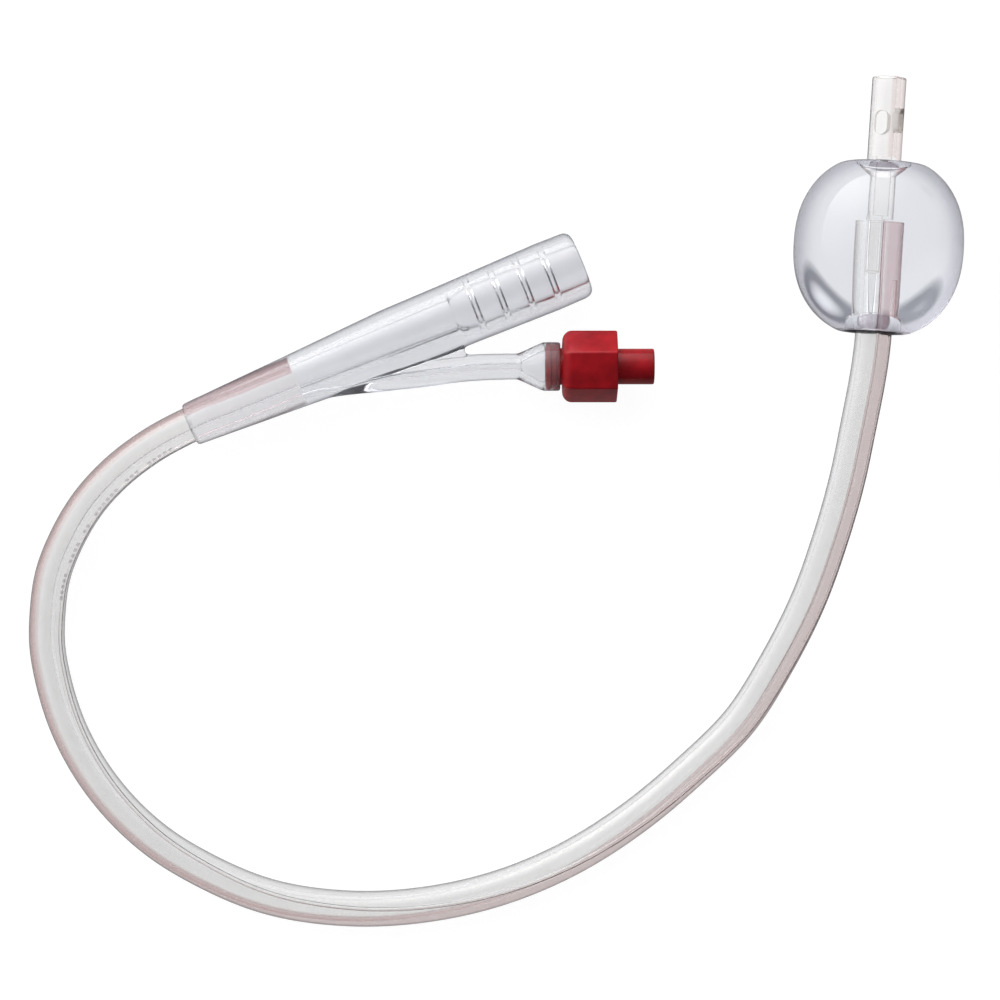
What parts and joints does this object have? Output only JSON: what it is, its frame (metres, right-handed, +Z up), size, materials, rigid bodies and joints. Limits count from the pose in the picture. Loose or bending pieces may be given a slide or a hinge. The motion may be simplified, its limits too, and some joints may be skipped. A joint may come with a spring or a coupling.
{
  "type": "foley urinary catheter",
  "caption": "Soft clear tube in a loop, with a filled balloon and an open tip with eyes at one end, and a drainage funnel and red inflation valve at the other.",
  "frame": {"origin": "on the surface that the catheter lies on, under the middle of the box round the Y moulding, the valve, the balloon and the tip, without the tube", "axes": "+X along the drainage funnel's axis and out of its mouth, +Y from the inflation arm towards the funnel, +Z up from the surface"},
  "size_m": [0.1735, 0.1047, 0.0279],
  "materials": {
    "clear_silicone": "clear silicone rubber extrusion with a faint pinkish tint, glossy and slightly cloudy",
    "balloon_silicone": "thin clear stretched silicone rubber, glossy",
    "moulded_silicone": "milky translucent moulded silicone rubber with a satin surface",
    "sterile_water": "clear colourless liquid",
    "red_valve_plastic": "deep red translucent moulded plastic, glossy",
    "white_valve_plastic": "plain white moulded plastic",
    "valve_rubber": "soft black rubber",
    "spring_steel": "bright stainless spring wire"
  },
  "bodies": {
    "catheter": {"shaft": "clear_silicone", "tip": "clear_silicone", "balloon": "balloon_silicone", "balloon_water": "sterile_water", "y_funnel": "moulded_silicone", "valve_body": "red_valve_plastic", "valve_retainer": "white_valve_plastic", "valve_spring": "spring_steel"},
    "plunger": {"valve_plunger": "white_valve_plastic", "valve_seal": "valve_rubber"}
  },
  "joints": [
    {"name": "plunger_slide", "type": "slide", "parent": "catheter", "child": "plunger", "axis": [-0.9239, 0.3827, 0], "range_m": [0, 0.0015], "stiffness_N_per_m": 300, "deforming": ["valve_spring"]}
  ]
}
